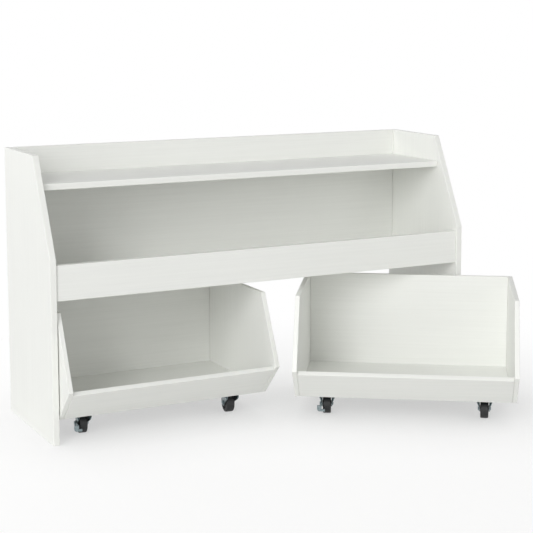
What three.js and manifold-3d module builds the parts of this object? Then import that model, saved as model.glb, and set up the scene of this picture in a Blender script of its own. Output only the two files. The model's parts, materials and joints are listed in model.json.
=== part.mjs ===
// A white toy storage unit: an open case with a top tray and a toy shelf, and two bins on swivel
// casters that roll in and out under the shelf. One bin stands at home, the other stands rolled out.
// Millimetres. x runs along the case to the right, y from the front to the rear, z up from the floor.
import * as THREE from 'three';
import { mergeVertices } from 'three/addons/utils/BufferGeometryUtils.js';
import Module from 'manifold-3d';

const wasm = await Module();
wasm.setup();

// Clearances
const seatGap = 0.3; // between pieces that are glued, screwed or seated on each other
const runningGap = 0.4; // between a piece that turns and the piece that it turns on

// Case
const caseWidth = 1190;
const caseDepth = 350;
const caseHeight = 700;
const caseBoard = 16;
const sideTopDepth = 230; // the side panels' level top edge, from the rear
const trayDepth = 70; // from the case's top edge down to the top shelf
const topShelfSetback = 17; // from the sides' slanted edge back to the top shelf
const railHeight = 88;
const railSetback = 5;
const kneeAboveRail = 13; // from the rail's top edge up to where the sides' slanted edge starts

// Bins
const binBoard = 12;
const binRoom = 22; // what the two bins leave free across the case
const binDepth = 413;
const binHeight = 265;
const binTopSetback = 83; // from the bin's nose back to its top edge
const binNoseHeight = 84.5; // where the bin's front is furthest out
const binBottomSetback = 79; // from the bin's nose back to its floor
const binUnderRail = 31; // from a bin's top edge up to the rail
const lipBelowNose = 12; // measured down the slant

// Bins in place
const homeBinFromSide = 2.5; // the bin at home stands this far from the left side
const homeBinFromWall = 3; // and its back this far inside the case's rear
const rolledOutAngle = 33.8; // degrees
const rolledOutPassing = 1.9; // sideways room between the two bins
const rolledOutClearance = 19.2; // from the rolled-out bin's back to the right side's front corner

// Casters
const wheelDiameter = 50;
const wheelWidth = 21;
const treadChamfer = 2.5;
const rimWidth = 5;
const webRecess = 3;
const hubDiameter = 17;
const axleDiameter = 6;
const axleHeadDiameter = 11;
const axleHeadHeight = 2.6;
const forkSteel = 2;
const crownDiameter = 42;
const crownSkirt = 12; // how far the crown's cone reaches down
const crownSkirtTaper = 3.5; // and how much narrower it is there, on each side
const wheelUnderCrown = 2.3;
const trail = 18; // from the kingpin back to the axle
const axleBossDiameter = 17;
const legLead = 15; // how far the legs reach forward of the kingpin, under the crown
const legLeanStart = 7; // the legs stand upright to this far above the axle and lean out above it
const raceDiameter = 35;
const raceHeight = 3.1;
const kingpinDiameter = 8;
const kingpinHeadDiameter = 13;
const kingpinHeadHeight = 2.2;
const plateLength = 58;
const plateWidth = 46;
const plateSteel = 2;
const plateCorner = 6;
const screwHeadDiameter = 8;
const screwHeadHeight = 1.6;
const screwInset = 7; // from the plate's edges
const casterFromBinSide = 80;
const casterFromFloorEnd = 49; // from the front or rear end of the bin's floor

// Brake pedals
const pedalSteel = 2;
const pedalArmWidth = 11;
const pedalEyeDiameter = 14;
const pedalTyreGap = 8.5; // from the tyre forward to the foot
const pedalFlange = 10; // how far the foot runs outwards from the arm
const pedalFlangeRise = 12; // and up from the arm's middle
const pedalFlangeCorner = 8; // the radius of its low outer corner
const pedalToe = 8.5; // how far the foot's toe runs inwards from the arm, across the tyre's front
const pedalToeHeight = 6.5;
const pedalDip = 12; // degrees below level; a press adds 12 more
const pedalEyeStart = 54; // degrees round the axle, from the arm's middle to where its eye turns round

// Cam fittings, which pull the case's boards together
const camDiameter = 15;
const camDepth = 12.5;
const camFromEnd = 24; // from the board's end to the middle of the cam
const camBoltDiameter = 7;
const camBoltInSide = 11;

// How many flats stand for a round
const wheelFlats = 20;
const crownFlats = 16;
const pinFlats = 12;
const smallFlats = 8;
const cornerFlats = 3;
const curveFlats = 5;

// Heights and places that follow from these sizes
const wheelRadius = wheelDiameter / 2;
const crownUnderside = wheelDiameter + wheelUnderCrown;
const crownTop = crownUnderside + forkSteel;
const raceBottom = crownTop + runningGap;
const plateBottom = raceBottom + raceHeight;
const plateTop = plateBottom + plateSteel;
const binUnderside = plateTop + seatGap;
const shelfUnderside = binUnderside + binHeight + binUnderRail;
const railTop = shelfUnderside + railHeight;
const kneeHeight = railTop + kneeAboveRail;
const innerWidth = caseWidth - 2 * caseBoard;
const binWidth = (innerWidth - binRoom) / 2;
const topShelfTop = caseHeight - trayDepth;
const slantRun = (caseDepth - sideTopDepth) / (caseHeight - kneeHeight);
const topShelfFront = (topShelfTop - kneeHeight) * slantRun + topShelfSetback;
const backFront = caseDepth - caseBoard;
const railRear = railSetback + caseBoard;
const legInside = wheelWidth / 2 + webRecess / 2;

const laminate = { color: 0xeeefea, roughness: 0.45, metalness: 0 };
const zincSteel = { color: 0x9fa8ab, roughness: 0.35, metalness: 1 };
const camZinc = { color: 0xb4b6b4, roughness: 0.45, metalness: 1 };
const blackTyre = { color: 0x1d1e1f, roughness: 0.6, metalness: 0 };

function piece(name, geometry, finish) {
  const mesh = new THREE.Mesh(geometry, new THREE.MeshStandardMaterial(finish));
  mesh.name = name;
  return mesh;
}

// Closed geometry to solid, and back again for a mesh
function solidOf(geometry) {
  const welded = geometry.clone();
  welded.deleteAttribute('normal');
  welded.deleteAttribute('uv');
  const merged = mergeVertices(welded);
  return new wasm.Manifold(new wasm.Mesh({
    numProp: 3,
    vertProperties: merged.getAttribute('position').array,
    triVerts: merged.index.array,
  }));
}

function geometryOf(solid) {
  const { vertProperties, triVerts } = solid.getMesh();
  const geometry = new THREE.BufferGeometry();
  geometry.setAttribute('position', new THREE.BufferAttribute(vertProperties, 3));
  geometry.setIndex(new THREE.BufferAttribute(triVerts, 1));
  const faceted = geometry.toNonIndexed();
  faceted.computeVertexNormals();
  return faceted;
}

// One geometry from some that overlap, less the cutters
function join(geometries, cutters = []) {
  const joined = geometries.map(solidOf).reduce((whole, part) => whole.add(part));
  return geometryOf(cutters.map(solidOf).reduce((whole, cutter) => whole.subtract(cutter), joined));
}

// What some geometries have in common
function common(geometries) {
  return geometryOf(geometries.map(solidOf).reduce((whole, part) => whole.intersect(part)));
}

// A box between two corners
function block([x0, y0, z0], [x1, y1, z1]) {
  const box = new THREE.BoxGeometry(x1 - x0, y1 - y0, z1 - z0);
  return box.translate((x0 + x1) / 2, (y0 + y1) / 2, (z0 + z1) / 2);
}

// An outline in y and z, run along x
const outlineAcross = new THREE.Matrix4().makeBasis(
  new THREE.Vector3(0, 1, 0),
  new THREE.Vector3(0, 0, 1),
  new THREE.Vector3(1, 0, 0),
);

function runAlongX(shape, fromX, toX) {
  const settings = { depth: toX - fromX, bevelEnabled: false, curveSegments: curveFlats };
  const extruded = new THREE.ExtrudeGeometry(shape, settings);
  return extruded.applyMatrix4(outlineAcross).translate(fromX, 0, 0);
}

function outline(points) {
  return new THREE.Shape(points.map(([y, z]) => new THREE.Vector2(y, z)));
}

// An upright outline of [x, z] points, run along y
function runAlongY(points, fromY, toY) {
  const across = outline(points.map(([x, z]) => [-x, z]));
  return runAlongX(across, fromY, toY).rotateZ(Math.PI / 2);
}

// Turned pieces: the profile is radius against height, from the bottom up
function turnedUpright(profile, sides) {
  const points = profile.map(([radius, height]) => new THREE.Vector2(radius, height));
  return new THREE.LatheGeometry(points, sides).rotateX(Math.PI / 2);
}

function turnedAlongX(profile, sides) {
  const points = profile.map(([radius, along]) => new THREE.Vector2(radius, along));
  return new THREE.LatheGeometry(points, sides).rotateZ(-Math.PI / 2);
}

function rodAlongX(diameter, fromX, toX, y, z, sides) {
  const rod = turnedAlongX([[0, fromX], [diameter / 2, fromX], [diameter / 2, toX], [0, toX]], sides);
  return rod.translate(0, y, z);
}

function rodAlongY(diameter, fromY, toY, x, z, sides) {
  const rod = new THREE.CylinderGeometry(diameter / 2, diameter / 2, toY - fromY, sides);
  return rod.translate(x, (fromY + toY) / 2, z);
}

function rodUpright(diameter, fromZ, toZ, x, y, sides) {
  const rod = new THREE.CylinderGeometry(diameter / 2, diameter / 2, toZ - fromZ, sides);
  return rod.rotateX(Math.PI / 2).translate(x, y, (fromZ + toZ) / 2);
}

// A cam fitting is a steel bolt that stands in the side and is gripped by a cam in the board's face.
// towards is the side that it pulls to, -1 left and 1 right; the cam's face looks down or to the rear.
function camFitting(towards, { faces, y, z }, grow) {
  const sideFace = towards < 0 ? caseBoard : caseWidth - caseBoard;
  const camMiddle = sideFace - towards * (camFromEnd + seatGap);
  const boltTip = sideFace + towards * (camBoltInSide + grow);
  const bolt = rodAlongX(
    camBoltDiameter + 2 * grow, Math.min(boltTip, camMiddle), Math.max(boltTip, camMiddle), y, z, smallFlats);
  const below = caseBoard / 2;
  const camWidth = camDiameter + 2 * grow;
  const cam = faces === 'down'
    ? rodUpright(camWidth, z - below - grow, z - below + camDepth + grow, camMiddle, y, pinFlats)
    : rodAlongY(camWidth, y + below - camDepth - grow, y + below + grow, camMiddle, z, pinFlats);
  return [bolt, cam];
}

const fittingPlaces = {
  top_shelf: { faces: 'down', y: (topShelfFront + backFront) / 2, z: topShelfTop - caseBoard / 2 },
  middle_shelf: { faces: 'down', y: (railRear + backFront) / 2, z: shelfUnderside + caseBoard / 2 },
  front_rail: { faces: 'rear', y: railSetback + caseBoard / 2, z: (shelfUnderside + railTop) / 2 },
  back_panel: { faces: 'rear', y: backFront + caseBoard / 2, z: (railTop + topShelfTop) / 2 },
};
const sidesOfCase = { left: -1, right: 1 };

// The side panels stand on the floor; their front edge is upright up to the knee and slants back above it
function sidePanel(towards) {
  const panel = runAlongX(outline([
    [0, 0],
    [caseDepth, 0],
    [caseDepth, caseHeight],
    [caseDepth - sideTopDepth, caseHeight],
    [0, kneeHeight],
  ]), towards < 0 ? 0 : caseWidth - caseBoard, towards < 0 ? caseBoard : caseWidth);
  const boltHoles = Object.values(fittingPlaces).map((place) => camFitting(towards, place, seatGap)[0]);
  return join([panel], boltHoles);
}

function crossBoard(place, [y0, z0], [y1, z1]) {
  const board = block([caseBoard + seatGap, y0, z0], [caseWidth - caseBoard - seatGap, y1, z1]);
  return join([board], [...camFitting(-1, place, seatGap), ...camFitting(1, place, seatGap)]);
}

function storageCase() {
  const group = new THREE.Group();
  for (const [side, towards] of Object.entries(sidesOfCase)) {
    group.add(piece(`${side}_side`, sidePanel(towards), laminate));
  }
  const boards = {
    top_shelf: [[topShelfFront, topShelfTop - caseBoard], [backFront - seatGap, topShelfTop]],
    middle_shelf: [
      [railRear + seatGap, shelfUnderside],
      [backFront - seatGap, shelfUnderside + caseBoard],
    ],
    front_rail: [[railSetback, shelfUnderside], [railRear, railTop]],
    back_panel: [[backFront, shelfUnderside], [caseDepth, caseHeight]],
  };
  for (const [name, [low, high]] of Object.entries(boards)) {
    group.add(piece(name, crossBoard(fittingPlaces[name], low, high), laminate));
    for (const [side, towards] of Object.entries(sidesOfCase)) {
      const fitting = join(camFitting(towards, fittingPlaces[name], 0));
      group.add(piece(`${name}_cam_fitting_${side}`, fitting, camZinc));
    }
  }
  return group;
}

// Bins: x from the left face, y from the nose to the rear, z from the underside
function binBoards(name) {
  const group = new THREE.Group();
  const side = outline([
    [binBottomSetback, 0],
    [binDepth, 0],
    [binDepth, binHeight],
    [binTopSetback, binHeight],
    [0, binNoseHeight],
  ]);
  group.add(piece(`${name}_left_side`, runAlongX(side, 0, binBoard), laminate));
  group.add(piece(`${name}_right_side`, runAlongX(side, binWidth - binBoard, binWidth), laminate));

  const left = binBoard + seatGap;
  const right = binWidth - left;
  const back = block([left, binDepth - binBoard, 0], [right, binDepth, binHeight]);
  group.add(piece(`${name}_back`, back, laminate));

  // The lip follows the sides' lower slant; its foot is cut level and its top square
  const slantLength = Math.hypot(binBottomSetback, binNoseHeight);
  const alongY = -binBottomSetback / slantLength;
  const alongZ = binNoseHeight / slantLength;
  const lipLength = slantLength - lipBelowNose;
  const lipTopY = binBottomSetback + lipLength * alongY;
  const lipTopZ = lipLength * alongZ;
  const innerFootY = binBottomSetback + binBoard / alongZ;
  const lip = outline([
    [binBottomSetback, 0],
    [innerFootY, 0],
    [lipTopY + binBoard * alongZ, lipTopZ - binBoard * alongY],
    [lipTopY, lipTopZ],
  ]);
  group.add(piece(`${name}_front_lip`, runAlongX(lip, left, right), laminate));

  // The floor's front end is cut to the lip's slope
  const floorFront = innerFootY + seatGap / alongZ;
  const floorRear = binDepth - binBoard - seatGap;
  const floor = outline([
    [floorFront, 0],
    [floorRear, 0],
    [floorRear, binBoard],
    [floorFront + binBoard * alongY / alongZ, binBoard],
  ]);
  group.add(piece(`${name}_floor`, runAlongX(floor, left, right), laminate));
  return group;
}

// Casters: the kingpin is the z axis, the floor is z = 0, and the wheel trails behind it, towards +y
function roundedPlate() {
  const halfLength = plateLength / 2;
  const halfWidth = plateWidth / 2;
  const corners = [[1, -1], [1, 1], [-1, 1], [-1, -1]];
  const shape = new THREE.Shape();
  corners.forEach(([right, rear], turn) => {
    const middleX = right * (halfLength - plateCorner);
    const middleY = rear * (halfWidth - plateCorner);
    const start = (turn - 1) * Math.PI / 2;
    shape.absarc(middleX, middleY, plateCorner, start, start + Math.PI / 2, false);
  });
  shape.closePath();
  const plate = new THREE.ExtrudeGeometry(shape, {
    depth: plateSteel,
    bevelEnabled: false,
    curveSegments: cornerFlats,
  });
  return plate.translate(0, 0, plateBottom);
}

function topPlate() {
  const screwX = plateLength / 2 - screwInset;
  const screwY = plateWidth / 2 - screwInset;
  const overlap = plateSteel / 2;
  const screwFoot = plateBottom - screwHeadHeight;
  const screws = [[-1, -1], [1, -1], [1, 1], [-1, 1]].map(([right, rear]) => rodUpright(
    screwHeadDiameter, screwFoot, plateBottom + overlap, right * screwX, rear * screwY, smallFlats));
  const pinRadius = kingpinDiameter / 2;
  const headTop = crownUnderside - runningGap;
  const race = turnedUpright([
    [0, headTop - kingpinHeadHeight],
    [kingpinHeadDiameter / 2, headTop - kingpinHeadHeight],
    [kingpinHeadDiameter / 2, headTop],
    [pinRadius, headTop],
    [pinRadius, raceBottom],
    [raceDiameter / 2, raceBottom],
    [raceDiameter / 2, plateBottom + overlap],
    [0, plateBottom + overlap],
  ], pinFlats);
  return join([roundedPlate(), race, ...screws]);
}

// From the side, the legs are full under the crown and narrow to a round boss at the axle
function legsFromTheSide() {
  const bossRadius = axleBossDiameter / 2;
  const top = crownUnderside + forkSteel / 2;
  const shape = new THREE.Shape();
  shape.moveTo(-legLead, top);
  shape.lineTo(-legLead, crownUnderside - crownSkirt);
  shape.lineTo(trail - bossRadius, wheelRadius);
  shape.absarc(trail, wheelRadius, bossRadius, Math.PI, 2 * Math.PI, false);
  shape.lineTo(crownDiameter / 2 - forkSteel, top);
  shape.closePath();
  return runAlongX(shape, -crownDiameter / 2, crownDiameter / 2);
}

// From the front, a leg stands beside the wheel and leans out to the crown's rim; towards is -1 or 1
function legFromTheFront(towards) {
  const leanStart = wheelRadius + legLeanStart;
  const rim = crownDiameter / 2;
  const top = crownUnderside + forkSteel / 2;
  const points = [
    [legInside, 0],
    [legInside + forkSteel, 0],
    [legInside + forkSteel, leanStart],
    [rim, crownUnderside],
    [rim, top],
    [rim - forkSteel, top],
    [rim - forkSteel, crownUnderside],
    [legInside, leanStart],
  ];
  const reach = trail + crownDiameter;
  return runAlongY(points.map(([x, z]) => [towards * x, z]), -reach, reach);
}

// The crown's skirt is open between the legs, in front for the tyre to show and behind for it to pass
function fork() {
  const outer = crownDiameter / 2;
  const skirtFoot = crownUnderside - crownSkirt;
  const crown = turnedUpright([
    [outer - crownSkirtTaper - forkSteel, skirtFoot],
    [outer - crownSkirtTaper, skirtFoot],
    [outer, crownUnderside],
    [outer, crownTop],
    [0, crownTop],
    [0, crownUnderside],
    [outer - forkSteel, crownUnderside],
    [outer - crownSkirtTaper - forkSteel, skirtFoot],
  ], crownFlats);
  // The legs' top corners are drawn in to the crown's round rim
  const bossReach = Math.hypot(trail + axleBossDiameter / 2, legInside + forkSteel);
  const drawnIn = turnedUpright([
    [0, 0],
    [bossReach, 0],
    [bossReach, wheelRadius + legLeanStart],
    [outer, crownUnderside],
    [outer, crownTop],
    [0, crownTop],
  ], crownFlats);
  const leaning = join([legFromTheFront(-1), legFromTheFront(1)]);
  const legs = common([legsFromTheSide(), leaning, drawnIn]);
  const wheelSlot = rodAlongX(
    wheelDiameter + 2 * wheelUnderCrown, -legInside, legInside, trail, wheelRadius, wheelFlats);
  const frontOpening = block(
    [-legInside, -outer - forkSteel, skirtFoot - forkSteel], [legInside, 0, crownUnderside]);
  const pinHole = rodUpright(
    kingpinDiameter + 2 * runningGap, crownUnderside - forkSteel, crownTop + forkSteel, 0, 0, pinFlats);
  const axleHole = rodAlongX(axleDiameter + 2 * seatGap, -outer, outer, trail, wheelRadius, smallFlats);
  return join([crown, legs], [wheelSlot, frontOpening, pinHole, axleHole]);
}

function wheel() {
  const half = wheelWidth / 2;
  const bore = axleDiameter / 2 + runningGap;
  const hub = hubDiameter / 2;
  const hubEnd = legInside - runningGap;
  const rim = wheelRadius - treadChamfer - rimWidth;
  const oneSide = [
    [bore, hubEnd],
    [hub, hubEnd],
    [hub, half - webRecess],
    [rim, half - webRecess],
    [wheelRadius - treadChamfer, half],
    [wheelRadius, half - treadChamfer],
  ];
  const otherSide = oneSide.map(([radius, along]) => [radius, -along]);
  const profile = [...otherSide, ...oneSide.reverse(), otherSide[0]];
  return turnedAlongX(profile, wheelFlats).translate(0, trail, wheelRadius);
}

// The axle is a bolt with a head on each end; with a brake its left head also holds the pedal's arm
function axle(braked) {
  const right = legInside + forkSteel + seatGap;
  const left = -right - (braked ? pedalSteel + seatGap : 0);
  const shaft = axleDiameter / 2;
  const head = axleHeadDiameter / 2;
  const bolt = turnedAlongX([
    [0, left - axleHeadHeight],
    [head, left - axleHeadHeight],
    [head, left],
    [shaft, left],
    [shaft, right],
    [head, right],
    [head, right + axleHeadHeight],
    [0, right + axleHeadHeight],
  ], smallFlats);
  return bolt.translate(0, trail, wheelRadius);
}

// The pedal turns on the axle outside the left leg and reaches forward past the tyre. Its foot faces
// forward: a flange outside the arm, and low on its other side a toe that crosses in front of the
// tyre. It is drawn upside down and pointing to the rear, then turned over.
function brakePedal() {
  const armOuter = -legInside - forkSteel - seatGap - pedalSteel;
  const armInner = armOuter + pedalSteel;
  const footBack = wheelRadius + pedalTyreGap;
  const footFront = footBack + pedalSteel;
  const half = pedalArmWidth / 2;
  const eyeStart = THREE.MathUtils.degToRad(pedalEyeStart);
  const arm = new THREE.Shape();
  arm.absarc(0, 0, pedalEyeDiameter / 2, eyeStart, 2 * Math.PI - eyeStart, false);
  arm.lineTo(footFront, -pedalFlangeRise);
  arm.lineTo(footFront, half);
  arm.closePath();
  const footEdge = armOuter - pedalFlange;
  const corner = Array.from({ length: cornerFlats + 1 }, (_, step) => {
    const turn = (Math.PI / 2) * (1 + step / cornerFlats);
    return [
      footEdge + pedalFlangeCorner * (1 + Math.cos(turn)),
      half - pedalFlangeCorner * (1 - Math.sin(turn)),
    ];
  });
  const foot = runAlongY([
    [footEdge, -pedalFlangeRise],
    [armInner, -pedalFlangeRise],
    [armInner, half - pedalToeHeight],
    [armInner + pedalToe, half - pedalToeHeight],
    [armInner + pedalToe, half],
    ...corner,
  ], footBack, footFront);
  const hole = rodAlongX(
    axleDiameter + 2 * runningGap, armOuter - pedalSteel, armInner + pedalSteel, 0, 0, smallFlats);
  const pedal = join([runAlongX(arm, armOuter, armInner), foot], [hole]);
  const forwardAndDown = THREE.MathUtils.degToRad(180 + pedalDip);
  return pedal.rotateX(forwardAndDown).translate(0, trail, wheelRadius);
}

// A caster whose fork is swung by heading, in degrees; some have a brake
function caster(name, heading, braked) {
  const turning = new THREE.Group();
  turning.add(piece(`${name}_fork`, fork(), zincSteel));
  turning.add(piece(`${name}_wheel`, wheel(), blackTyre));
  turning.add(piece(`${name}_axle`, axle(braked), zincSteel));
  if (braked) {
    turning.add(piece(`${name}_brake_pedal`, brakePedal(), zincSteel));
  }
  turning.rotation.z = THREE.MathUtils.degToRad(heading);
  const group = new THREE.Group();
  group.add(piece(`${name}_plate`, topPlate(), zincSteel), turning);
  return group;
}

// A bin on its four casters, with each caster's heading
function bin(name, headings) {
  const group = new THREE.Group();
  const boards = binBoards(name);
  boards.position.z = binUnderside;
  group.add(boards);
  const left = casterFromBinSide;
  const right = binWidth - casterFromBinSide;
  const front = binBottomSetback + casterFromFloorEnd;
  const rear = binDepth - casterFromFloorEnd;
  const places = {
    front_left: [left, front],
    front_right: [right, front],
    rear_left: [left, rear],
    rear_right: [right, rear],
  };
  for (const [corner, [x, y]] of Object.entries(places)) {
    const oneCaster = caster(`${name}_${corner}`, headings[corner], corner === 'front_left');
    oneCaster.position.set(x, y, 0);
    group.add(oneCaster);
  }
  return group;
}

const leftBin = bin('left_bin', { front_left: -8, front_right: -6, rear_left: -10, rear_right: -5 });
leftBin.position.set(caseBoard + homeBinFromSide, caseDepth - homeBinFromWall - binDepth, 0);

// The rolled-out bin's back passes the right side's front inner corner
const rightBin = bin('right_bin', { front_left: 5, front_right: -2, rear_left: 12, rear_right: 6 });
const turn = THREE.MathUtils.degToRad(rolledOutAngle);
const noseLeft = caseBoard + homeBinFromSide + binWidth + rolledOutPassing;
const acrossToCorner = caseWidth - caseBoard - noseLeft;
const noseFront = (acrossToCorner * Math.sin(turn) - binDepth - rolledOutClearance) / Math.cos(turn);
rightBin.position.set(noseLeft, noseFront, 0);
rightBin.rotation.z = -turn;

// The origin is on the floor, under the middle of the whole unit
const model = new THREE.Group();
model.add(storageCase(), leftBin, rightBin);
model.updateMatrixWorld(true);
const box = new THREE.Box3().setFromObject(model, true);
model.position.set(-(box.min.x + box.max.x) / 2, -(box.min.y + box.max.y) / 2, -box.min.z);

export default model;
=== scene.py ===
import json
import math

import bmesh
import bpy
from mathutils import Matrix, Vector


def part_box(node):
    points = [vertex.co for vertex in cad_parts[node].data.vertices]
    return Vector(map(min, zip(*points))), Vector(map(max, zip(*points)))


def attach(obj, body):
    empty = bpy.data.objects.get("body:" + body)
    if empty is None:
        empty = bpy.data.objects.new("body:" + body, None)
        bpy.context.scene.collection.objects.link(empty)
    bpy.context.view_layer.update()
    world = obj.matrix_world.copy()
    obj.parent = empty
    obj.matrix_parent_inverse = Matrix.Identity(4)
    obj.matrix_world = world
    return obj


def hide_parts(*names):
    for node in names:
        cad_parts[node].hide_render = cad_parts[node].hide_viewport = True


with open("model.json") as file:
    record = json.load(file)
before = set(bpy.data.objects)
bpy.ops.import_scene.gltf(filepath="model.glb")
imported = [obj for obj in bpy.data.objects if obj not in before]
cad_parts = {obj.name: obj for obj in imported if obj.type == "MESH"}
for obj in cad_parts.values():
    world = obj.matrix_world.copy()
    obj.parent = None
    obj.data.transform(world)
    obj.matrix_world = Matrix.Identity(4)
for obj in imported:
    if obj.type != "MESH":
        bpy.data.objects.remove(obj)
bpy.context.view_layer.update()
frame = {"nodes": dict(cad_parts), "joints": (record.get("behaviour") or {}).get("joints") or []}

MM = 0.001  # lengths are in metres
IMAGE_SIDE = 533  # pixels
SENSOR_WIDTH = 36  # millimetres

# Camera, fitted to the corners of the boards in the photograph
CAMERA_PLACE = (-1.7050, -3.1515, 1.0639)
CAMERA_YAW = 27.17  # degrees from +Y towards +X
CAMERA_PITCH = 7.73  # degrees below level
CAMERA_FOCAL_PIXELS = 1415.1
CAMERA_SHIFT_Y = -0.13

# Boards
EDGE_ROUND = 1.2 * MM
SEAM_ROUND = 0.4 * MM  # on the bins' backs and floors, which butt against their other boards
EDGE_STEPS = 3
SAME_POINT = 0.01 * MM
FLAT_WITHIN = 1  # degrees between faces that count as one
END_FACE = 0.3  # a face that shows less than this share of the grain's direction is an end face
GRAIN_STEP = 0.37  # metres of grain from the start of one board to the start of the next

# How large one streak, patch, grain of grit or fibre is in the finishes, and how deep the reliefs are
STREAK_LENGTH = 303.03 * MM
STREAK_WIDTH = 5 * MM
STREAK_DEPTH = 0.2 * MM
FIGURE_LENGTH = 769.23 * MM
FIGURE_WIDTH = 50 * MM
ZINC_PATCH = 4.1667 * MM
CAM_PATCH = 3.3333 * MM
DUST_PATCH = 8.3333 * MM
RUBBER_GRIT = 0.66667 * MM
RUBBER_GRIT_DEPTH = 0.1 * MM
PAPER_FIBRE = 2.5 * MM

# Cams, which lie in pockets in the case's boards
CAM_RECESS = 0.4 * MM
CAM_PLAY = 0.2 * MM
CAM_CHAMFER = 0.8 * MM
CAM_SLOT_REACH = 0.55  # share of the cam's radius
CAM_SLOT_HALF = 0.8 * MM
CAM_SLOT_DEPTH = 2.5 * MM
CAM_TURN = 25  # degrees
CUT_OVER = 1 * MM  # how far outside a face a cut begins

# Casters, in each caster's own frame: kingpin up z, wheel towards +y, floor at z = 0
SEAT_GAP = 0.3 * MM
BORE_GAP = 0.4 * MM
STEEL = 2 * MM
WHEEL_RADIUS = 25 * MM
WHEEL_HALF = 10.5 * MM
TREAD_ROUND = 3 * MM
TREAD_START = 80  # degrees from straight outwards, where the tread's rounding begins
WEB_RECESS = 3 * MM
RIM_WIDTH = 5 * MM
RIM_BEAD = 0.8 * MM  # the slope to either side of the bead's edge
RIM_EDGE = 0.5 * MM  # how far that edge lies below the wheel's face
RIM_FLAT = 3.5 * MM
HUB_RADIUS = 8.5 * MM
HUB_DRAFT = 0.5 * MM  # how much wider the hub is at the web
HUB_CHAMFER = 0.6 * MM
AXLE_RADIUS = 3 * MM
AXLE_HEAD = 5.5 * MM
AXLE_HEAD_HEIGHT = 2.6 * MM
NUT_HEIGHT = 1.82 * MM
COLLAR_RADIUS = 4.125 * MM
TRAIL = 18 * MM
WHEEL_UNDER_CROWN = 2.3 * MM
CROWN_RADIUS = 21 * MM
CROWN_UNDERSIDE = 2 * WHEEL_RADIUS + WHEEL_UNDER_CROWN
CROWN_TOP = CROWN_UNDERSIDE + STEEL
SKIRT_DROP = 12 * MM
SKIRT_TAPER = 3.5 * MM
AXLE_BOSS = 8.5 * MM
LEG_INSIDE = 12 * MM
LEG_LEAD = 15 * MM
LEAN_START = WHEEL_RADIUS + 7 * MM  # the legs stand upright up to here and lean out above it
LEG_BLANK_FOOT = 5 * MM  # the blank is larger than the leg, which is cut from it
LEG_BLANK_REACH = 60 * MM
FACE_APART = 0.15 * MM  # keeps the legs' outer faces from lying in the crown's
RACE_RADIUS = 17.5 * MM
RACE_HEIGHT = 3.1 * MM
RACE_CHAMFER = 1.2 * MM
RACE_BOTTOM = CROWN_TOP + BORE_GAP
PLATE_BOTTOM = RACE_BOTTOM + RACE_HEIGHT
PLATE_LENGTH = 58 * MM
PLATE_WIDTH = 46 * MM
PLATE_CORNER = 6 * MM
KINGPIN_RADIUS = 4 * MM
KINGPIN_HEAD = 6.5 * MM
KINGPIN_HEAD_HEIGHT = 2.2 * MM
KINGPIN_HEAD_CHAMFER = 1.2 * MM  # measured along the head's face
KINGPIN_HEAD_SLOPE = 1.0 * MM  # and up its side
SCREW_HEAD = 4 * MM
SCREW_HEAD_FLAT = 2.4 * MM
SCREW_HEIGHT = 1.6 * MM
SCREW_EDGE = 0.5 * MM
SCREW_INSET = 7 * MM
SCREW_SLOT_REACH = 1.9 * MM
SCREW_SLOT_HALF = 0.35 * MM
SCREW_SLOT_DEPTH = 0.8 * MM
PEDAL_ARM = 11 * MM
PEDAL_EYE = 7 * MM
PEDAL_EYE_START = 54  # degrees round the axle, where the arm's edge becomes its eye
PEDAL_TYRE_GAP = 8.5 * MM
PEDAL_FLANGE = 10 * MM
PEDAL_RISE = 12 * MM
PEDAL_CORNER = 8 * MM
PEDAL_TOE = 8.5 * MM
PEDAL_TOE_HEIGHT = 6.5 * MM
PEDAL_DIP = 12  # degrees

# The crown's rolled shoulder, as (in from its radius, up from its underside)
CROWN_SHOULDER = (
    (0.6 * MM, -0.8 * MM),
    (0, 0.4 * MM),
    (0.2 * MM, STEEL - 0.6 * MM),
    (1.0 * MM, STEEL),
)

# How far the sharp edges of the metal pieces are rounded
SHARP_FROM = 40  # degrees between the faces of an edge
ROUND_STEPS = 2
FORK_ROUND = 0.35 * MM
PLATE_ROUND = 0.25 * MM
AXLE_ROUND = 0.3 * MM
PEDAL_ROUND = 0.4 * MM
CAM_ROUND = 0.2 * MM

# How many flats stand for a round
WHEEL_STEPS = 64
CROWN_STEPS = 48
CAM_STEPS = 40
PIN_STEPS = 32
SCREW_STEPS = 24
PEDAL_EYE_STEPS = 14
BOSS_STEPS = 12
PEDAL_CORNER_STEPS = 8
ARC_STEPS = 6

# Light: the share of white light from all round, and large soft lamps far off that face one place, as
# (name, degrees from the front towards the left, degrees up, watts)
WORLD_LIGHT = 0.4
LAMP_SIZE = 4.7
LAMP_DISTANCE = 14
LAMP_AIM = Vector((0, 0, 0.3))
LAMPS = (
    ("key", 48, 32, 412),
    ("key_low", 48, 18, 304),
    ("left_low", 60, 6, 254),
    ("left_fill", 95, 35, 112),
    ("right_fill", -25, 18, 75),
    ("right_low", -25, 6, 70),
    ("backdrop", 166, 9, 200),
)

# The floor as it is seen: the share of its colour that the lamps light, the glow that makes up for the
# rest, how near the object a painted shade weakens the glow and by how much, and where it fades to white
FLOOR_HALF = 30
FLOOR_SHARE = 0.35
FLOOR_GLOW = 0.73
PAINTED_SHADE_REACH = 0.28
PAINTED_SHADE_DEPTH = 0.33
FADE_MIDDLE = (0, -0.35, 0)
FADE_START = 0.6
FADE_END = 1.6

BIN_NAMES = ("left_bin", "right_bin")
CORNERS = ("front_left", "front_right", "rear_left", "rear_right")


def from_hex(code):
    """An sRGB hex colour as linear values."""
    levels = [int(code[i:i + 2], 16) / 255 for i in (1, 3, 5)]
    return (*[v / 12.92 if v <= 0.04045 else ((v + 0.055) / 1.055) ** 2.4 for v in levels], 1.0)


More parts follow.
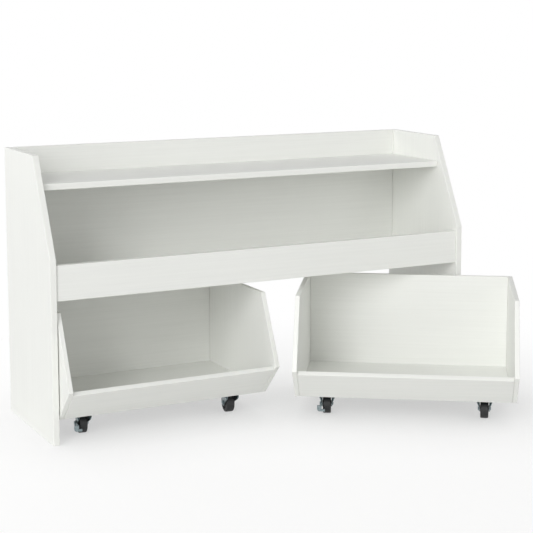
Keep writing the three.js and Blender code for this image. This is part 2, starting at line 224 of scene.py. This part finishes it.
def add(tree, kind, inputs=None, **settings):
    """Adds a node with its settings; an input takes a value, or another node's output to link."""
    made = tree.nodes.new(kind)
    for name, value in settings.items():
        setattr(made, name, value)
    for name, value in (inputs or {}).items():
        if isinstance(value, bpy.types.NodeSocket):
            tree.links.new(value, made.inputs[name])
        else:
            made.inputs[name].default_value = value
    return made


def new_material(name):
    """A new node material, with its tree and its shader."""
    material = bpy.data.materials.new(name)
    material.use_nodes = True
    tree = material.node_tree
    return material, tree, tree.nodes["Principled BSDF"]


def laminate_material(name, light, dark, roughness, bump):
    """Melamine-faced board: white paper pressed with a fine wood grain, which makes it matt with faint
    streaks. A weaker and wider figure lies under them. The map's first axis runs along the grain."""
    material, tree, shader = new_material(name)
    where = add(tree, "ShaderNodeUVMap", uv_map="grain")
    stretched = add(tree, "ShaderNodeMapping", {
        "Vector": where.outputs["UV"], "Scale": (1 / STREAK_LENGTH, 1 / STREAK_WIDTH, 1)})
    streaks = add(tree, "ShaderNodeTexNoise", {
        "Vector": stretched.outputs["Vector"], "Scale": 1.0, "Detail": 3.0, "Roughness": 0.6})
    wide = add(tree, "ShaderNodeMapping", {
        "Vector": where.outputs["UV"], "Scale": (1 / FIGURE_LENGTH, 1 / FIGURE_WIDTH, 1)})
    figure = add(tree, "ShaderNodeTexNoise", {
        "Vector": wide.outputs["Vector"], "Scale": 1.0, "Detail": 3.0, "Distortion": 0.6})
    both = add(tree, "ShaderNodeMix", {
        "Factor": 0.2, "A": streaks.outputs["Fac"], "B": figure.outputs["Fac"]}, data_type="FLOAT")
    depth = add(tree, "ShaderNodeMapRange", {
        "Value": both.outputs["Result"], "From Min": 0.3, "From Max": 0.7})
    colour = add(tree, "ShaderNodeMix", {
        "Factor": depth.outputs["Result"], "A": from_hex(dark), "B": from_hex(light)}, data_type="RGBA")
    tree.links.new(colour.outputs["Result"], shader.inputs["Base Color"])
    matt = add(tree, "ShaderNodeMapRange", {
        "Value": streaks.outputs["Fac"], "To Min": roughness + 0.08, "To Max": roughness - 0.04})
    tree.links.new(matt.outputs["Result"], shader.inputs["Roughness"])
    relief = add(tree, "ShaderNodeBump", {
        "Height": streaks.outputs["Fac"], "Strength": bump, "Distance": STREAK_DEPTH})
    tree.links.new(relief.outputs["Normal"], shader.inputs["Normal"])
    shader.inputs["IOR"].default_value = 1.5
    return material


def metal_material(name, bright, dull, roughness, patch):
    """Zinc, as a bright coat on stamped steel or cast as a whole: grey, with cloudy patches."""
    material, tree, shader = new_material(name)
    where = add(tree, "ShaderNodeTexCoord")
    clouds = add(tree, "ShaderNodeTexNoise", {
        "Vector": where.outputs["Object"], "Scale": 1 / patch, "Detail": 3.0})
    colour = add(tree, "ShaderNodeMix", {
        "Factor": clouds.outputs["Fac"], "A": from_hex(dull), "B": from_hex(bright)}, data_type="RGBA")
    tree.links.new(colour.outputs["Result"], shader.inputs["Base Color"])
    sheen = add(tree, "ShaderNodeMapRange", {
        "Value": clouds.outputs["Fac"], "To Min": roughness + 0.1, "To Max": roughness - 0.1})
    tree.links.new(sheen.outputs["Result"], shader.inputs["Roughness"])
    shader.inputs["Metallic"].default_value = 1.0
    return material


def tyre_material():
    """Moulded black rubber: nearly black, softly shining, with dust that greys it in patches. Its grit
    is drawn coarser than the real one, so that it shows."""
    material, tree, shader = new_material("moulded_black_rubber")
    where = add(tree, "ShaderNodeTexCoord")
    dust = add(tree, "ShaderNodeTexNoise", {
        "Vector": where.outputs["Object"], "Scale": 1 / DUST_PATCH, "Detail": 4.0})
    colour = add(tree, "ShaderNodeMix", {
        "Factor": dust.outputs["Fac"], "A": from_hex("#181819"), "B": from_hex("#2c2d2e")},
        data_type="RGBA")
    tree.links.new(colour.outputs["Result"], shader.inputs["Base Color"])
    matt = add(tree, "ShaderNodeMapRange", {
        "Value": dust.outputs["Fac"], "To Min": 0.45, "To Max": 0.65})
    tree.links.new(matt.outputs["Result"], shader.inputs["Roughness"])
    grit = add(tree, "ShaderNodeTexNoise", {
        "Vector": where.outputs["Object"], "Scale": 1 / RUBBER_GRIT, "Detail": 2.0})
    relief = add(tree, "ShaderNodeBump", {
        "Height": grit.outputs["Fac"], "Strength": 0.25, "Distance": RUBBER_GRIT_DEPTH})
    tree.links.new(relief.outputs["Normal"], shader.inputs["Normal"])
    return material


face_laminate = laminate_material("white_melamine_face", "#f6f7f3", "#f1f2ee", 0.46, 0.2)
edge_band = laminate_material("white_abs_edge_band", "#f7f8f4", "#f4f5f0", 0.38, 0.1)
zinc = metal_material("zinc_plated_steel", "#b9c6c9", "#6f7c80", 0.34, ZINC_PATCH)
cam_zinc = metal_material("cast_zinc_cam", "#cfd0cd", "#a9aba8", 0.42, CAM_PATCH)
tyre = tyre_material()


def finished(name, mesh):
    """The worked mesh as an object's data."""
    data = bpy.data.meshes.new(name)
    mesh.to_mesh(data)
    mesh.free()
    return data


def in_scene(name, data):
    """A new object in the scene, made of a mesh, a light or a camera."""
    made = bpy.data.objects.new(name, data)
    bpy.context.scene.collection.objects.link(made)
    return made


def place_piece(name, mesh, place, body, nodes, materials):
    """Puts a mesh at place as a piece that rides on body and stands for nodes."""
    piece = in_scene(name, mesh)
    piece.matrix_world = place
    if not mesh.materials:
        for material in materials:
            mesh.materials.append(material)
    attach(piece, body)
    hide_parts(*nodes)
    return piece


def face_normals(piece):
    """Smooth shading in which the broad faces stay flat and the rounded edges turn smoothly."""
    for polygon in piece.data.polygons:
        polygon.use_smooth = True
    weighted = piece.modifiers.new("face_normals", "WEIGHTED_NORMAL")
    weighted.keep_sharp = True
    return piece


def joint_named(name):
    """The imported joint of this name."""
    return next(joint for joint in frame["joints"] if joint["name"] == name)


def bin_across(bin_name):
    """The direction of a bin's width. The rolled-out bin is turned, and its front right axle shows by
    how much."""
    if bin_name == "right_bin":
        return joint_named("right_bin_front_right_wheel_spin")["axis"]
    return (1, 0, 0)


def level_frame(origin, across):
    """A frame at origin whose x runs along across and whose z is up."""
    x = Vector(across).normalized()
    z = Vector((0, 0, 1))
    y = z.cross(x)
    turned_frame = Matrix((x, y, z)).transposed().to_4x4()
    return Matrix.Translation(Vector(origin)) @ turned_frame


def map_grain(mesh, grain, start):
    """A map in metres whose first axis runs along the grain; start keeps two boards from matching."""
    layer = mesh.loops.layers.uv.new("grain")
    along = Vector(grain)
    for face in mesh.faces:
        flat = along - face.normal * along.dot(face.normal)
        if flat.length < END_FACE:
            flat = face.normal.orthogonal()
        flat.normalize()
        cross = face.normal.cross(flat)
        for loop in face.loops:
            point = loop.vert.co
            loop[layer].uv = (point.dot(flat) + start, point.dot(cross) + start)


boards_made = []


def board(node, body, place, grain, rounding=EDGE_ROUND):
    """A packed board with its edges rounded, its grain mapped and its narrow faces banded. It is worked
    in the frame at place, where it lies square."""
    mesh = bmesh.new()
    to_board = place.inverted()
    for vertex in frame["nodes"][node].data.vertices:
        mesh.verts.new(to_board @ vertex.co)
    bmesh.ops.remove_doubles(mesh, verts=mesh.verts, dist=SAME_POINT)
    bmesh.ops.convex_hull(mesh, input=mesh.verts)
    inner = [vertex for vertex in mesh.verts if not vertex.link_faces]
    bmesh.ops.delete(mesh, geom=inner, context="VERTS")
    bmesh.ops.dissolve_limit(mesh, angle_limit=math.radians(FLAT_WITHIN),
                             verts=mesh.verts, edges=mesh.edges)
    broad = sorted(mesh.faces, key=lambda face: face.calc_area())[-2:]
    for face in mesh.faces:
        face.material_index = 0 if face in broad else 1
    bmesh.ops.bevel(mesh, geom=mesh.edges[:], offset=rounding, offset_type="OFFSET",
                    segments=EDGE_STEPS, profile=0.5, affect="EDGES", material=1)
    bmesh.ops.recalc_face_normals(mesh, faces=mesh.faces)
    map_grain(mesh, grain, GRAIN_STEP * len(boards_made))
    mesh.transform(place)
    data = finished(f"{node}_board", mesh)
    piece = place_piece(f"{node}_board", data, Matrix.Identity(4), body, [node],
                        [face_laminate, edge_band])
    boards_made.append(piece)
    return face_normals(piece)


def ring_of_points(mesh, radius, height, steps):
    """A ring of points about z, or the one point on the axis."""
    if radius == 0:
        return [mesh.verts.new((0, 0, height))]
    turns = [2 * math.pi * step / steps for step in range(steps)]
    return [mesh.verts.new((radius * math.cos(a), radius * math.sin(a), height)) for a in turns]


def turned(profile, steps, closed=False):
    """A solid turned about z from (radius, height) points that run from the bottom up."""
    mesh = bmesh.new()
    rings = [ring_of_points(mesh, radius, height, steps) for radius, height in profile]
    pairs = list(zip(rings, rings[1:]))
    if closed:
        pairs.append((rings[-1], rings[0]))
    for low, high in pairs:
        for step in range(steps):
            after = (step + 1) % steps
            corners = [low[step % len(low)], low[after % len(low)],
                       high[after % len(high)], high[step % len(high)]]
            unique = list(dict.fromkeys(corners))
            mesh.faces.new(unique)
    bmesh.ops.recalc_face_normals(mesh, faces=mesh.faces)
    return mesh


def slab(outline, low, high):
    """An outline in x and y made solid from low to high."""
    mesh = bmesh.new()
    bottom = [mesh.verts.new((x, y, low)) for x, y in outline]
    top = [mesh.verts.new((x, y, high)) for x, y in outline]
    mesh.faces.new(bottom[::-1])
    mesh.faces.new(top)
    for i in range(len(outline)):
        after = (i + 1) % len(outline)
        mesh.faces.new((bottom[i], bottom[after], top[after], top[i]))
    bmesh.ops.recalc_face_normals(mesh, faces=mesh.faces)
    return mesh


def rod(radius, low, high, steps=PIN_STEPS):
    """A round bar about z."""
    return turned([(0, low), (radius, low), (radius, high), (0, high)], steps)


def arc(middle_x, middle_y, radius, start, end, steps=ARC_STEPS):
    """Points of an arc, from start to end in degrees."""
    angles = [math.radians(start + (end - start) * step / steps) for step in range(steps + 1)]
    return [(middle_x + radius * math.cos(a), middle_y + radius * math.sin(a)) for a in angles]


def rounded_rectangle(length, width, corner):
    """The outline of a plate with round corners."""
    points = []
    for quarter, (right, rear) in enumerate(((1, 1), (-1, 1), (-1, -1), (1, -1))):
        middle_x = right * (length / 2 - corner)
        middle_y = rear * (width / 2 - corner)
        points += arc(middle_x, middle_y, corner, 90 * quarter, 90 * quarter + 90)
    return points


def hexagon(radius):
    """The outline of a bolt's head: six corners, 60 degrees apart."""
    return arc(0, 0, radius, 0, 300, 5)


def placed(mesh, place):
    """The same mesh, moved."""
    bmesh.ops.transform(mesh, matrix=place, verts=mesh.verts)
    return mesh


# Lays a form on its side: its x, y and z come to lie along y, z and x
ACROSS = Matrix(((0, 0, 1, 0), (1, 0, 0, 0), (0, 1, 0, 0), (0, 0, 0, 1)))
# Stands a form up: its x, y and z come to lie along x, z and -y
UPRIGHT = Matrix(((1, 0, 0, 0), (0, 0, -1, 0), (0, 1, 0, 0), (0, 0, 0, 1)))
WHEEL_MIDDLE = Matrix.Translation((0, TRAIL, WHEEL_RADIUS))


def scratch_object(mesh):
    """A mesh as an object, for as long as a cut or a union needs it."""
    return in_scene("scratch", finished("scratch", mesh))


def combine(name, first, steps, rounding):
    """One mesh from a first solid and (operation, solid) steps, with its sharp edges rounded."""
    whole = scratch_object(first)
    tools = []
    for operation, tool_mesh in steps:
        tool = scratch_object(tool_mesh)
        tools.append(tool)
        step = whole.modifiers.new(operation, "BOOLEAN")
        step.operation = operation
        step.object = tool
        step.solver = "EXACT"
    clean = whole.modifiers.new("clean", "WELD")
    clean.merge_threshold = SAME_POINT
    soft = whole.modifiers.new("rounding", "BEVEL")
    soft.width = rounding
    soft.segments = ROUND_STEPS
    soft.limit_method = "ANGLE"
    soft.angle_limit = math.radians(SHARP_FROM)
    graph = bpy.context.evaluated_depsgraph_get()
    graph.update()
    data = bpy.data.meshes.new_from_object(whole.evaluated_get(graph))
    data.name = name
    for scratch in [whole, *tools]:
        used = scratch.data
        bpy.data.objects.remove(scratch)
        bpy.data.meshes.remove(used)
    data.materials.clear()
    return data


def cross_slot(reach, half_width, low, high, place=Matrix.Identity(4)):
    """Two crossed bars, which cut the slots for a cross-point screwdriver."""
    outline = [(-reach, -half_width), (reach, -half_width), (reach, half_width), (-reach, half_width)]
    return [placed(slab(outline, low, high), place @ Matrix.Rotation(math.radians(turn), 4, "Z"))
            for turn in (0, 90)]


def wheel_mesh():
    """A solid tyre on a recessed web: rounded shoulders, a bead round the rim and a plain hub."""
    rim = WHEEL_RADIUS - TREAD_ROUND - RIM_WIDTH
    bore = AXLE_RADIUS + BORE_GAP
    hub_end = LEG_INSIDE - BORE_GAP
    web = WHEEL_HALF - WEB_RECESS
    one_side = [
        (bore, hub_end),
        (HUB_RADIUS - HUB_CHAMFER, hub_end),
        (HUB_RADIUS, hub_end - HUB_CHAMFER),
        (HUB_RADIUS + HUB_DRAFT, web),
        (rim - RIM_BEAD, web),
        (rim, WHEEL_HALF - RIM_EDGE),
        (rim + RIM_BEAD, WHEEL_HALF),
        (rim + RIM_FLAT, WHEEL_HALF),
        *arc(WHEEL_RADIUS - TREAD_ROUND, WHEEL_HALF - TREAD_ROUND, TREAD_ROUND, TREAD_START, 0),
    ]
    other_side = [(radius, -along) for radius, along in one_side]
    mesh = turned(other_side + one_side[::-1], WHEEL_STEPS, closed=True)
    return finished("caster_wheel", placed(mesh, WHEEL_MIDDLE @ ACROSS))


def legs_from_the_side():
    """Both legs as one block with their side outline: full under the crown, a round boss at the axle."""
    top = CROWN_UNDERSIDE + STEEL / 2
    outline = [
        (-LEG_LEAD, top),
        (-LEG_LEAD, CROWN_UNDERSIDE - SKIRT_DROP),
        *arc(TRAIL, WHEEL_RADIUS, AXLE_BOSS, 180, 360, BOSS_STEPS),
        (CROWN_RADIUS - STEEL, top),
    ]
    return placed(slab(outline, -CROWN_RADIUS - STEEL, CROWN_RADIUS + STEEL), ACROSS)


def leg_from_the_front(side):
    """One leg as a long strip with its front outline: upright beside the wheel, leaning out above it."""
    top = CROWN_UNDERSIDE + STEEL
    outline = [
        (LEG_INSIDE, LEG_BLANK_FOOT),
        (LEG_INSIDE + STEEL, LEG_BLANK_FOOT),
        (LEG_INSIDE + STEEL, LEAN_START),
        (CROWN_RADIUS, CROWN_UNDERSIDE),
        (CROWN_RADIUS, top),
        (CROWN_RADIUS - STEEL, top),
        (CROWN_RADIUS - STEEL, CROWN_UNDERSIDE),
        (LEG_INSIDE, LEAN_START),
    ]
    strip = slab([(side * x, z) for x, z in outline], -LEG_BLANK_REACH, LEG_BLANK_REACH)
    return placed(strip, Matrix.Rotation(math.radians(90), 4, "X"))


def fork_mesh():
    """A stamped fork: two legs drawn in from a round crown, whose skirt is open between them."""
    foot = CROWN_UNDERSIDE - SKIRT_DROP
    foot_radius = CROWN_RADIUS - SKIRT_TAPER
    crown = turned([
        (0, CROWN_UNDERSIDE),
        (CROWN_RADIUS - STEEL, CROWN_UNDERSIDE),
        (foot_radius - STEEL, foot),
        (foot_radius, foot),
        *[(CROWN_RADIUS - inwards, CROWN_UNDERSIDE + up) for inwards, up in CROWN_SHOULDER],
        (0, CROWN_TOP),
    ], CROWN_STEPS)
    boss_reach = math.hypot(TRAIL + AXLE_BOSS, LEG_INSIDE + STEEL)
    rim = CROWN_RADIUS - FACE_APART
    drawn_in = turned([
        (0, 0), (boss_reach, 0), (boss_reach, LEAN_START),
        (rim, CROWN_UNDERSIDE), (rim, CROWN_TOP), (0, CROWN_TOP)], CROWN_STEPS)
    opening = slab([
        (-LEG_INSIDE, -CROWN_RADIUS - STEEL), (LEG_INSIDE, -CROWN_RADIUS - STEEL),
        (LEG_INSIDE, 0), (-LEG_INSIDE, 0)], foot - STEEL, CROWN_UNDERSIDE)
    wheel_room = rod(WHEEL_RADIUS + WHEEL_UNDER_CROWN, -LEG_INSIDE, LEG_INSIDE, WHEEL_STEPS)
    axle_hole = rod(AXLE_RADIUS + SEAT_GAP, -CROWN_RADIUS, CROWN_RADIUS)
    pin_hole = rod(KINGPIN_RADIUS + BORE_GAP, CROWN_UNDERSIDE - STEEL, CROWN_TOP + STEEL)
    return combine("caster_fork", leg_from_the_front(-1), [
        ("UNION", leg_from_the_front(1)),
        ("INTERSECT", legs_from_the_side()),
        ("INTERSECT", drawn_in),
        ("UNION", crown),
        ("DIFFERENCE", placed(wheel_room, WHEEL_MIDDLE @ ACROSS)),
        ("DIFFERENCE", opening),
        ("DIFFERENCE", pin_hole),
        ("DIFFERENCE", placed(axle_hole, WHEEL_MIDDLE @ ACROSS)),
    ], FORK_ROUND)


def plate_mesh():
    """The screwed-on top plate, with the bearing race, the kingpin's rivet head and four screw heads."""
    outline = rounded_rectangle(PLATE_LENGTH, PLATE_WIDTH, PLATE_CORNER)
    plate = slab(outline, PLATE_BOTTOM, PLATE_BOTTOM + STEEL)
    head_top = CROWN_UNDERSIDE - BORE_GAP
    head_bottom = head_top - KINGPIN_HEAD_HEIGHT
    inside = PLATE_BOTTOM + STEEL / 2
    race = turned([
        (0, head_bottom),
        (KINGPIN_HEAD - KINGPIN_HEAD_CHAMFER, head_bottom),
        (KINGPIN_HEAD, head_bottom + KINGPIN_HEAD_SLOPE),
        (KINGPIN_HEAD, head_top),
        (KINGPIN_RADIUS, head_top),
        (KINGPIN_RADIUS, RACE_BOTTOM),
        (RACE_RADIUS - RACE_CHAMFER, RACE_BOTTOM),
        (RACE_RADIUS, RACE_BOTTOM + RACE_CHAMFER),
        (RACE_RADIUS, inside),
        (0, inside),
    ], CROWN_STEPS)
    screws, slots = [], []
    for right in (-1, 1):
        for rear in (-1, 1):
            at = Matrix.Translation((right * (PLATE_LENGTH / 2 - SCREW_INSET),
                                     rear * (PLATE_WIDTH / 2 - SCREW_INSET), PLATE_BOTTOM))
            head = turned([
                (0, -SCREW_HEIGHT), (SCREW_HEAD_FLAT, -SCREW_HEIGHT), (SCREW_HEAD, -SCREW_EDGE),
                (SCREW_HEAD, STEEL / 2), (0, STEEL / 2)], SCREW_STEPS)
            screws.append(placed(head, at))
            slots += cross_slot(SCREW_SLOT_REACH, SCREW_SLOT_HALF, -2 * SCREW_HEIGHT,
                                SCREW_SLOT_DEPTH - SCREW_HEIGHT, at)
    steps = [("UNION", solid) for solid in [race, *screws]] + [("DIFFERENCE", slot) for slot in slots]
    return combine("caster_plate", plate, steps, PLATE_ROUND)


def axle_mesh(braked):
    """The axle bolt: a hexagon head on the left and a lock nut with a round collar on the right."""
    right = LEG_INSIDE + STEEL + SEAT_GAP
    left = -right - (STEEL + SEAT_GAP if braked else 0)
    shaft = rod(AXLE_RADIUS, left - AXLE_HEAD_HEIGHT / 2, right + AXLE_HEAD_HEIGHT)
    head = slab(hexagon(AXLE_HEAD), left - AXLE_HEAD_HEIGHT, left)
    nut = slab(hexagon(AXLE_HEAD), right, right + NUT_HEIGHT)
    collar = rod(COLLAR_RADIUS, right, right + AXLE_HEAD_HEIGHT)
    parts = [placed(part, WHEEL_MIDDLE @ ACROSS) for part in (shaft, head, nut, collar)]
    return combine("caster_axle", parts[0], [("UNION", part) for part in parts[1:]], AXLE_ROUND)


def pedal_mesh():
    """The brake pedal: an arm on the axle outside the left leg, and a foot that faces forward, with a
    flange outside the arm and a toe in front of the tyre. It is drawn upside down and turned over."""
    outer = -LEG_INSIDE - 2 * STEEL - SEAT_GAP
    inner = outer + STEEL
    edge = outer - PEDAL_FLANGE
    foot_back = WHEEL_RADIUS + PEDAL_TYRE_GAP
    foot_front = foot_back + STEEL
    half = PEDAL_ARM / 2
    toe = half - PEDAL_TOE_HEIGHT
    arm_outline = [
        *arc(0, 0, PEDAL_EYE, PEDAL_EYE_START, 360 - PEDAL_EYE_START, PEDAL_EYE_STEPS),
        (foot_front, -PEDAL_RISE),
        (foot_front, half),
    ]
    foot_outline = [
        (edge, -PEDAL_RISE),
        (inner, -PEDAL_RISE),
        (inner, toe),
        (inner + PEDAL_TOE, toe),
        (inner + PEDAL_TOE, half),
        *arc(edge + PEDAL_CORNER, half - PEDAL_CORNER, PEDAL_CORNER, 90, 180, PEDAL_CORNER_STEPS),
    ]
    arm = placed(slab(arm_outline, outer, inner), ACROSS)
    foot = placed(slab(foot_outline, -foot_front, -foot_back), UPRIGHT)
    hole = placed(rod(AXLE_RADIUS + BORE_GAP, outer - STEEL, inner + STEEL), ACROSS)
    data = combine("caster_pedal", arm, [("UNION", foot), ("DIFFERENCE", hole)], PEDAL_ROUND)
    data.transform(WHEEL_MIDDLE @ Matrix.Rotation(math.radians(180 + PEDAL_DIP), 4, "X"))
    return data


def cam_mesh(radius, depth):
    """A cam in its pocket, its face down at z = 0: a chamfered rim, a cross slot for the screwdriver."""
    outside = radius - CAM_PLAY
    body = turned([
        (0, 0),
        (outside - CAM_CHAMFER, 0),
        (outside, CAM_CHAMFER),
        (outside, depth),
        (0, depth),
    ], CAM_STEPS)
    slots = cross_slot(radius * CAM_SLOT_REACH, CAM_SLOT_HALF, -CUT_OVER, CAM_SLOT_DEPTH)
    return combine("cam", body, [("DIFFERENCE", slot) for slot in slots], CAM_ROUND)


def pocket(piece, place, radius, depth):
    """Bores a blind round hole into a board, before its other modifiers."""
    cutter = scratch_object(placed(rod(radius, -CUT_OVER, depth, CAM_STEPS), place))
    cut = piece.modifiers.new("pocket", "BOOLEAN")
    cut.operation = "DIFFERENCE"
    cut.object = cutter
    cut.solver = "EXACT"
    piece.modifiers.move(len(piece.modifiers) - 1, 0)
    with bpy.context.temp_override(object=piece, active_object=piece, selected_objects=[piece]):
        bpy.ops.object.modifier_apply(modifier=cut.name)
    bpy.data.objects.remove(cutter)


def fit_cams(board_piece, board_name, rear_facing):
    """Sets the two cams of a case board into pockets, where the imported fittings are. Their faces look to
    the rear, or else down."""
    data = None
    for side in ("left", "right"):
        node = f"{board_name}_cam_fitting_{side}"
        low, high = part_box(node)
        size = high - low
        radius = (size.z if rear_facing else size.y) / 2
        depth = size.y if rear_facing else size.z
        x = high.x - radius if side == "left" else low.x + radius
        if rear_facing:
            place = Matrix.Translation((x, high.y, (low.z + high.z) / 2))
            place = place @ Matrix.Rotation(math.radians(90), 4, "X")
        else:
            place = Matrix.Translation((x, (low.y + high.y) / 2, low.z))
        pocket(board_piece, place, radius + SEAT_GAP, depth + SEAT_GAP)
        if data is None:
            data = cam_mesh(radius, depth - CAM_RECESS)
        recessed = place @ Matrix.Translation((0, 0, CAM_RECESS))
        recessed = recessed @ Matrix.Rotation(math.radians(CAM_TURN), 4, "Z")
        cam = place_piece(f"{node}_cam", data, recessed, "case", [node], [cam_zinc])
        face_normals(cam)


def storage_case():
    """The case: two sides with upright grain, and four boards with level grain between them."""
    here = Matrix.Identity(4)
    for node in ("left_side", "right_side"):
        board(node, "case", here, (0, 0, 1))
    for node, rear_facing in (("top_shelf", False), ("middle_shelf", False),
                              ("front_rail", True), ("back_panel", True)):
        made = board(node, "case", here, (1, 0, 0))
        fit_cams(made, node, rear_facing)


def storage_bin(name):
    """A bin's five boards, in the bin's own turned frame."""
    place = level_frame((0, 0, 0), bin_across(name))
    for part in ("left_side", "right_side"):
        board(f"{name}_{part}", name, place, (0, 0, 1))
    board(f"{name}_front_lip", name, place, (1, 0, 0))
    for part in ("back", "floor"):
        board(f"{name}_{part}", name, place, (1, 0, 0), SEAM_ROUND)


caster_meshes = {
    "wheel": wheel_mesh(),
    "fork": fork_mesh(),
    "plate": plate_mesh(),
    "axle": axle_mesh(False),
    "braked_axle": axle_mesh(True),
    "pedal": pedal_mesh(),
}


def caster(bin_name, corner):
    """One caster, placed by its packed joints: the kingpin's place and the axle's direction. The
    rolled-out bin turns about its front right caster, whose fork stands still and has no swivel."""
    key = f"{bin_name}_{corner}"
    kingpin_joint = "right_bin_turn" if key == "right_bin_front_right" else f"{key}_swivel"
    kingpin = Vector(joint_named(kingpin_joint)["pos_m"])
    kingpin.z = 0
    plate_place = level_frame(kingpin, bin_across(bin_name))
    fork_place = level_frame(kingpin, joint_named(f"{key}_wheel_spin")["axis"])
    braked = corner == "front_left"
    parts = [
        ("plate", "plate", plate_place, bin_name),
        ("fork", "fork", fork_place, f"{key}_fork"),
        ("axle", "braked_axle" if braked else "axle", fork_place, f"{key}_fork"),
        ("wheel", "wheel", fork_place, f"{key}_wheel"),
    ]
    if braked:
        parts.append(("brake_pedal", "pedal", fork_place, f"{key}_brake_pedal"))
    for part, shape, place, body in parts:
        node = f"{key}_{part}"
        slot, material = ("black_tyre", tyre) if part == "wheel" else ("zinc_plated_steel", zinc)
        piece = place_piece(f"{node}_piece", caster_meshes[shape], place, body, [node], [material])
        face_normals(piece)


storage_case()
for bin_name in BIN_NAMES:
    storage_bin(bin_name)
    for corner in CORNERS:
        caster(bin_name, corner)


def seen_directly(tree):
    """1 for the camera's rays and for reflected and refracted ones, 0 for the rays that light things."""
    path = add(tree, "ShaderNodeLightPath")
    either = add(tree, "ShaderNodeMath", {
        0: path.outputs["Is Camera Ray"], 1: path.outputs["Is Glossy Ray"]}, operation="MAXIMUM")
    any_kind = add(tree, "ShaderNodeMath", {
        0: either.outputs["Value"], 1: path.outputs["Is Transmission Ray"]}, operation="MAXIMUM")
    return any_kind.outputs["Value"]


def floor_material():
    """Matt white paper. Where it is seen it glows, with a painted shade that weakens the glow close to the
    object, and the lamps count for less on it, so its shadows are soft and pale. Far off it fades to
    white."""
    material, tree, shader = new_material("white_floor_paper")
    where = add(tree, "ShaderNodeTexCoord")
    seen = seen_directly(tree)
    fibres = add(tree, "ShaderNodeTexNoise", {
        "Vector": where.outputs["Object"], "Scale": 1 / PAPER_FIBRE})
    paper = add(tree, "ShaderNodeMix", {
        "Factor": fibres.outputs["Fac"], "A": from_hex("#f7f7f6"), "B": from_hex("#fafaf9")},
        data_type="RGBA")
    dimmed = add(tree, "ShaderNodeMix", {
        "Factor": 1.0, "A": paper.outputs["Result"], "B": (FLOOR_SHARE, FLOOR_SHARE, FLOOR_SHARE, 1)},
        data_type="RGBA", blend_type="MULTIPLY")
    colour = add(tree, "ShaderNodeMix", {
        "Factor": seen, "A": paper.outputs["Result"], "B": dimmed.outputs["Result"]}, data_type="RGBA")
    tree.links.new(colour.outputs["Result"], shader.inputs["Base Color"])
    shader.inputs["Roughness"].default_value = 0.9
    shader.inputs["Specular IOR Level"].default_value = 0.1

    # Painted shade: the glow is weakened where the object hides the floor from around it, which darkens
    # the floor near and under the object
    openness = add(tree, "ShaderNodeAmbientOcclusion", {"Distance": PAINTED_SHADE_REACH}, samples=4)
    painted_shade_glow = add(tree, "ShaderNodeMapRange", {
        "Value": openness.outputs["AO"],
        "To Min": FLOOR_GLOW * (1 - PAINTED_SHADE_DEPTH), "To Max": FLOOR_GLOW})
    glow = add(tree, "ShaderNodeMath", {0: seen, 1: painted_shade_glow.outputs["Result"]}, operation="MULTIPLY")
    shader.inputs["Emission Color"].default_value = (1, 1, 1, 1)
    tree.links.new(glow.outputs["Value"], shader.inputs["Emission Strength"])

    distance = add(tree, "ShaderNodeVectorMath", {
        0: where.outputs["Object"], 1: FADE_MIDDLE}, operation="DISTANCE")
    fade = add(tree, "ShaderNodeMapRange", {
        "Value": distance.outputs["Value"], "From Min": FADE_START, "From Max": FADE_END},
        interpolation_type="SMOOTHSTEP")
    share = add(tree, "ShaderNodeMath", {0: fade.outputs["Result"], 1: seen}, operation="MULTIPLY")
    white = add(tree, "ShaderNodeEmission", {"Color": (1, 1, 1, 1), "Strength": 1.0})
    mixed = add(tree, "ShaderNodeMixShader", {
        0: share.outputs["Value"], 1: shader.outputs["BSDF"], 2: white.outputs["Emission"]})
    tree.links.new(mixed.outputs["Shader"], tree.nodes["Material Output"].inputs["Surface"])
    return material


def floor_and_background():
    """A white floor that keeps the shadows, under a white background."""
    mesh = bmesh.new()
    bmesh.ops.create_grid(mesh, x_segments=1, y_segments=1, size=FLOOR_HALF)
    data = finished("studio_floor", mesh)
    data.materials.append(floor_material())
    floor = in_scene("studio_floor", data)

    world = bpy.data.worlds.new("studio")
    bpy.context.scene.world = world
    world.use_nodes = True
    tree = world.node_tree
    tree.nodes.clear()
    strength = add(tree, "ShaderNodeMapRange", {
        "Value": seen_directly(tree), "To Min": WORLD_LIGHT, "To Max": 1.0})
    background = add(tree, "ShaderNodeBackground", {
        "Color": (1, 1, 1, 1), "Strength": strength.outputs["Result"]})
    add(tree, "ShaderNodeOutputWorld", {"Surface": background.outputs["Background"]})


def soft_lamp(name, leftwards, upwards, power):
    """A square lamp that faces LAMP_AIM from a direction in degrees."""
    light = bpy.data.lights.new(name, "AREA")
    light.size = LAMP_SIZE
    light.energy = power
    round_angle = math.radians(leftwards)
    up_angle = math.radians(upwards)
    towards = Vector((-math.sin(round_angle) * math.cos(up_angle),
                      -math.cos(round_angle) * math.cos(up_angle),
                      math.sin(up_angle)))
    lamp = in_scene(name, light)
    lamp.location = LAMP_AIM + LAMP_DISTANCE * towards
    lamp.rotation_euler = towards.to_track_quat("Z", "Y").to_euler()


floor_and_background()
for lamp in LAMPS:
    soft_lamp(*lamp)


def studio_camera():
    """The camera at the photograph's viewing angle."""
    camera_data = bpy.data.cameras.new("camera")
    camera_data.sensor_width = SENSOR_WIDTH
    camera_data.lens = CAMERA_FOCAL_PIXELS / IMAGE_SIDE * SENSOR_WIDTH
    camera_data.shift_y = CAMERA_SHIFT_Y
    camera = in_scene("camera", camera_data)
    camera.location = CAMERA_PLACE
    camera.rotation_euler = (math.radians(90 - CAMERA_PITCH), 0, math.radians(-CAMERA_YAW))
    bpy.context.scene.camera = camera


studio_camera()
bpy.context.scene.view_settings.view_transform = "Standard"
